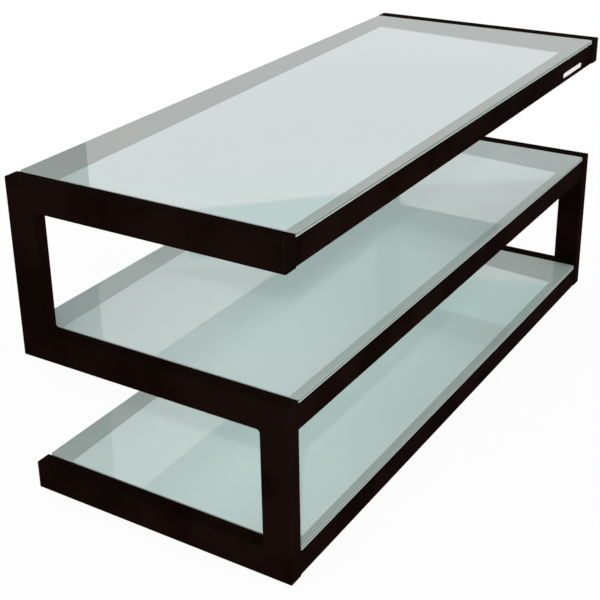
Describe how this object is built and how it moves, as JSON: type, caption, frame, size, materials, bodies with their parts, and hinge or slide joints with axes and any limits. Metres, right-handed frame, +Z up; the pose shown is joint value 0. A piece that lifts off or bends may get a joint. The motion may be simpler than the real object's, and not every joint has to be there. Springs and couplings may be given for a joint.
{
  "type": "audio video rack",
  "caption": "Low rack with S-shaped black tube end frames, tube rails and glass shelves that have a white field and clear borders.",
  "frame": {"origin": "on the floor, under the middle of the rack", "axes": "+X along the rack, towards the end that has the bare plate on its front; -Y to the front, where the top bars' free ends are; +Z up"},
  "size_m": [1.1, 0.45, 0.505],
  "materials": {
    "black_paint": "satin black powder coat on steel tube",
    "shelf_glass": "toughened float glass, white field with clear grey-green borders",
    "clear_polymer": "clear soft polymer",
    "plated_steel": "zinc plated steel",
    "black_polymer": "satin black moulding",
    "black_rubber": "matt black",
    "white_lacquer": "bare white lacquer"
  },
  "bodies": {
    "root": {"end_frame_left": "black_paint", "end_frame_right": "black_paint", "rail_front_top": "black_paint", "rail_rear_top": "black_paint", "rail_front_middle": "black_paint", "rail_rear_middle": "black_paint", "rail_front_bottom": "black_paint", "rail_rear_bottom": "black_paint", "glass_shelf_top": "shelf_glass", "glass_shelf_middle": "shelf_glass", "glass_shelf_bottom": "shelf_glass", "glass_pad_top_front_left": "clear_polymer", "glass_pad_top_front_middle": "clear_polymer", "glass_pad_top_front_right": "clear_polymer", "glass_pad_top_rear_left": "clear_polymer", "glass_pad_top_rear_middle": "clear_polymer", "glass_pad_top_rear_right": "clear_polymer", "glass_pad_middle_front_left": "clear_polymer", "glass_pad_middle_front_middle": "clear_polymer", "glass_pad_middle_front_right": "clear_polymer", "glass_pad_middle_rear_left": "clear_polymer", "glass_pad_middle_rear_middle": "clear_polymer", "glass_pad_middle_rear_right": "clear_polymer", "glass_pad_bottom_front_left": "clear_polymer", "glass_pad_bottom_front_middle": "clear_polymer", "glass_pad_bottom_front_right": "clear_polymer", "glass_pad_bottom_rear_left": "clear_polymer", "glass_pad_bottom_rear_middle": "clear_polymer", "glass_pad_bottom_rear_right": "clear_polymer", "grub_screw_top_front_left": "plated_steel", "grub_screw_top_front_right": "plated_steel", "grub_screw_top_rear_left": "plated_steel", "grub_screw_top_rear_right": "plated_steel", "grub_screw_middle_front_left": "plated_steel", "grub_screw_middle_front_right": "plated_steel", "grub_screw_middle_rear_left": "plated_steel", "grub_screw_middle_rear_right": "plated_steel", "grub_screw_bottom_front_left": "plated_steel", "grub_screw_bottom_front_right": "plated_steel", "grub_screw_bottom_rear_left": "plated_steel", "grub_screw_bottom_rear_right": "plated_steel", "end_cap_top_left": "black_polymer", "end_cap_top_right": "black_polymer", "end_cap_bottom_left": "black_polymer", "end_cap_bottom_right": "black_polymer", "glide_front_left": "black_rubber", "glide_front_right": "black_rubber", "glide_rear_left": "black_rubber", "glide_rear_right": "black_rubber", "name_plate": "white_lacquer"}
  },
  "joints": []
}
